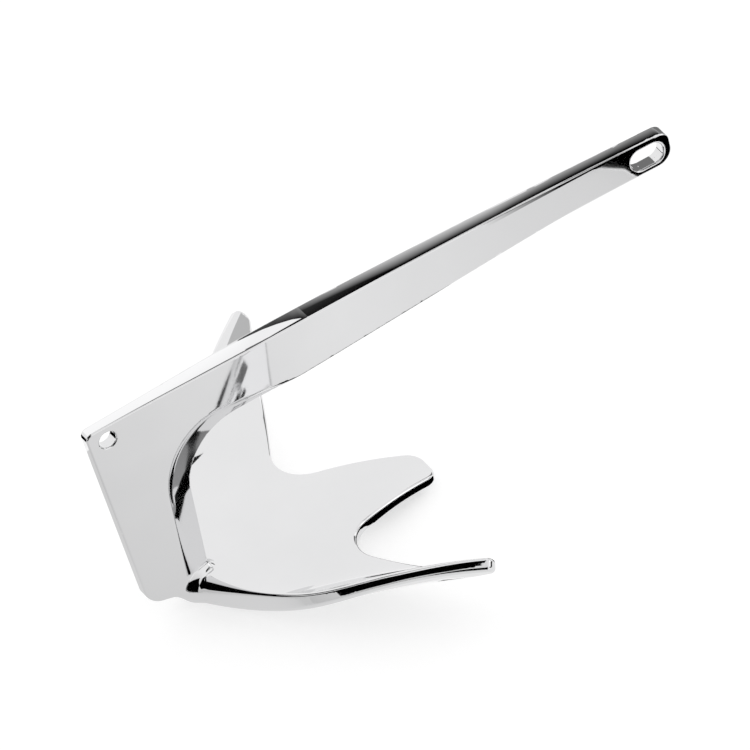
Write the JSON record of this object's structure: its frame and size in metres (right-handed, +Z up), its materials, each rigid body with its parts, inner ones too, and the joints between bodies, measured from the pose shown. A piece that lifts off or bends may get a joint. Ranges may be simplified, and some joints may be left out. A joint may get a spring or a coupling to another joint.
{
  "type": "claw anchor",
  "caption": "Claw anchor cast in one piece: a tapered shank with a shackle slot, a deep heel plate with a trip line hole, and a cupped claw of swept flukes, polished.",
  "frame": {"origin": "on the floor under the middle of the casting's length and width, lying at rest on its centre fluke tip and the bellies of its side flukes", "axes": "+X forward along the shank from the heel to the shackle eye, +Y to the left through the trip line hole, +Z up"},
  "size_m": [0.4204, 0.311, 0.1689],
  "materials": {
    "polished_steel": "mirror polished"
  },
  "bodies": {
    "root": {"claw_anchor": "polished_steel"}
  },
  "joints": []
}
